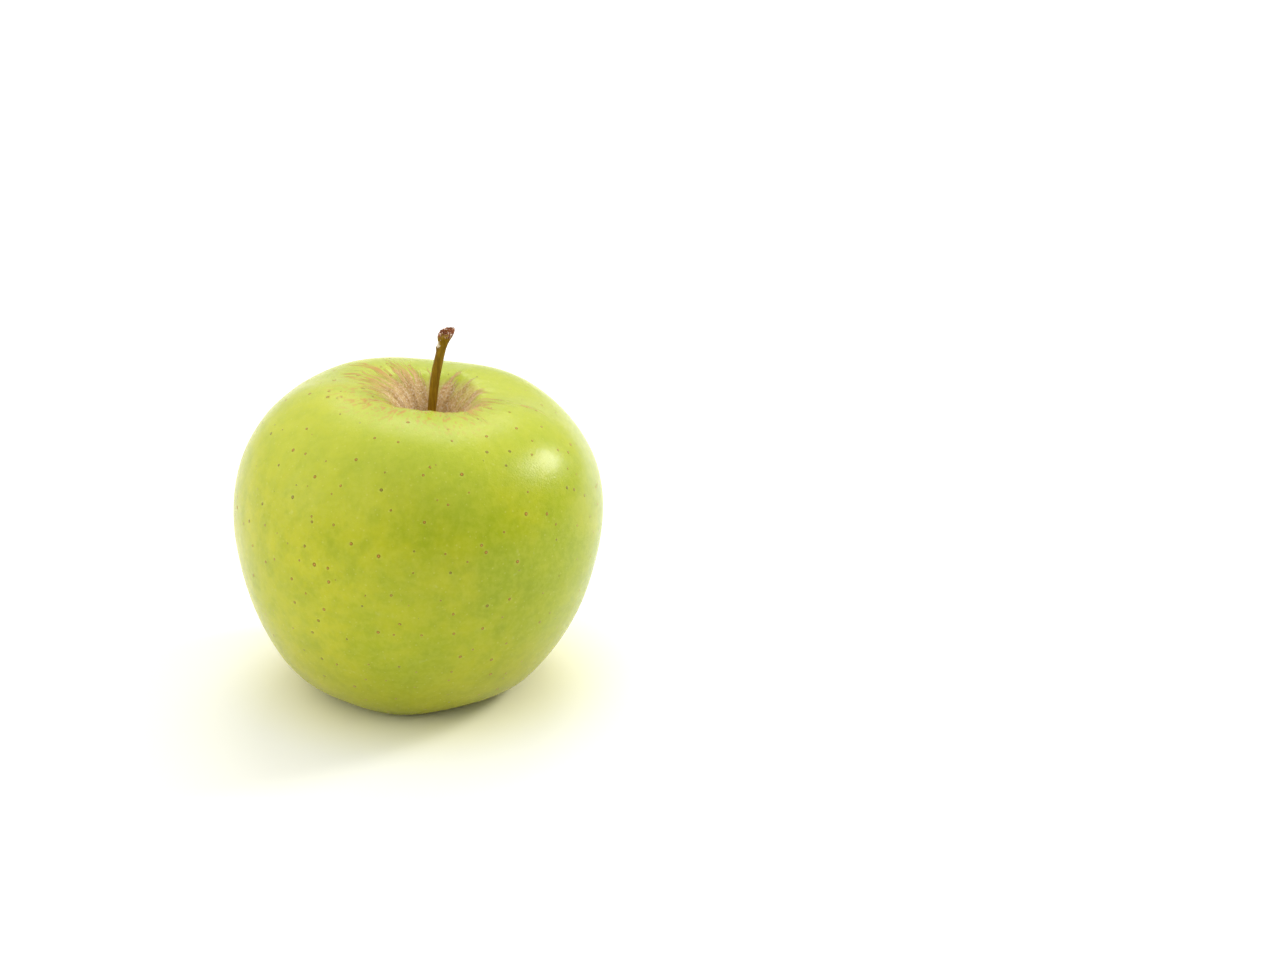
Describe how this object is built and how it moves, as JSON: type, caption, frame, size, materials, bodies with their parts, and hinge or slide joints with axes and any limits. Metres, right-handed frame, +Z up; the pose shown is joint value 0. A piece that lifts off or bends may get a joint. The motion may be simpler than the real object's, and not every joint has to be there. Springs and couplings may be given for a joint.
{
  "type": "apple",
  "caption": "Whole ripe yellow-green apple, upright, with a woody stem in a russeted cavity and dried sepals in the eye.",
  "frame": {"origin": "on the surface that the apple stands on, under the middle of its box", "axes": "+Z up from the eye to the stem, +X to the side that the stem leans to, -Y to the front"},
  "size_m": [0.078, 0.08, 0.0787],
  "materials": {
    "skin": "waxy satin apple skin, yellow-green with cloudy mottling, small tan lenticels and russet streaks round the stem",
    "bark": "matt olive-brown bark with lengthwise wrinkles, torn reddish-brown pith at the broken end",
    "sepal": "dry, downy grey-green sepal with a brown edge",
    "thread": "dry brown thread of the old flower"
  },
  "bodies": {
    "root": {"fruit": "skin", "stem": "bark", "sepal_1": "sepal", "sepal_2": "sepal", "sepal_3": "sepal", "sepal_4": "sepal", "sepal_5": "sepal", "stamens": "thread", "styles": "thread"}
  },
  "joints": []
}
